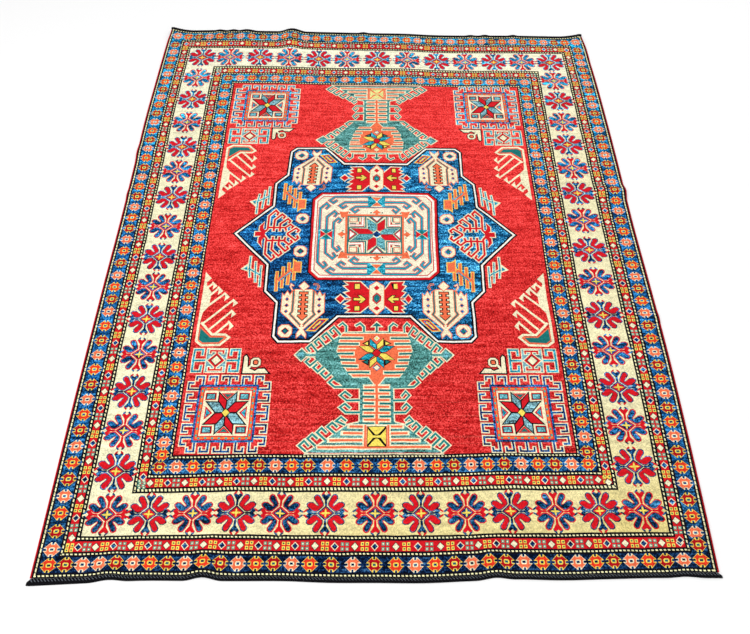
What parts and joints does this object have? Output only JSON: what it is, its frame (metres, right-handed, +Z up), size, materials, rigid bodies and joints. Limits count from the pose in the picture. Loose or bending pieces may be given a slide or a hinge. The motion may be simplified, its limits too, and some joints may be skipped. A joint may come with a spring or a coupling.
{
  "type": "kazak rug",
  "caption": "Flat knotted wool pile rug, lying with slight edge ripples and curled far corners, overcast side selvedges and braided end bands.",
  "frame": {"origin": "middle of the rug's outline, on the floor it lies on", "axes": "+Z up out of the pile, +Y along the rug to its far end, +X across the rug to its right side"},
  "size_m": [1.7422, 2.1054, 0.026],
  "materials": {
    "pile_wool": "short cut wool pile, madder red field with indigo, cream, coral, teal, gold and black motifs, soft sheen",
    "selvedge_wool": "red wool overcast round the side warps",
    "end_wool": "charcoal braided wool, grey where it catches the light"
  },
  "bodies": {
    "root": {"rug": "pile_wool", "selvedge_left": "selvedge_wool", "selvedge_right": "selvedge_wool", "end_finish_near": "end_wool", "end_finish_far": "end_wool"}
  },
  "joints": []
}
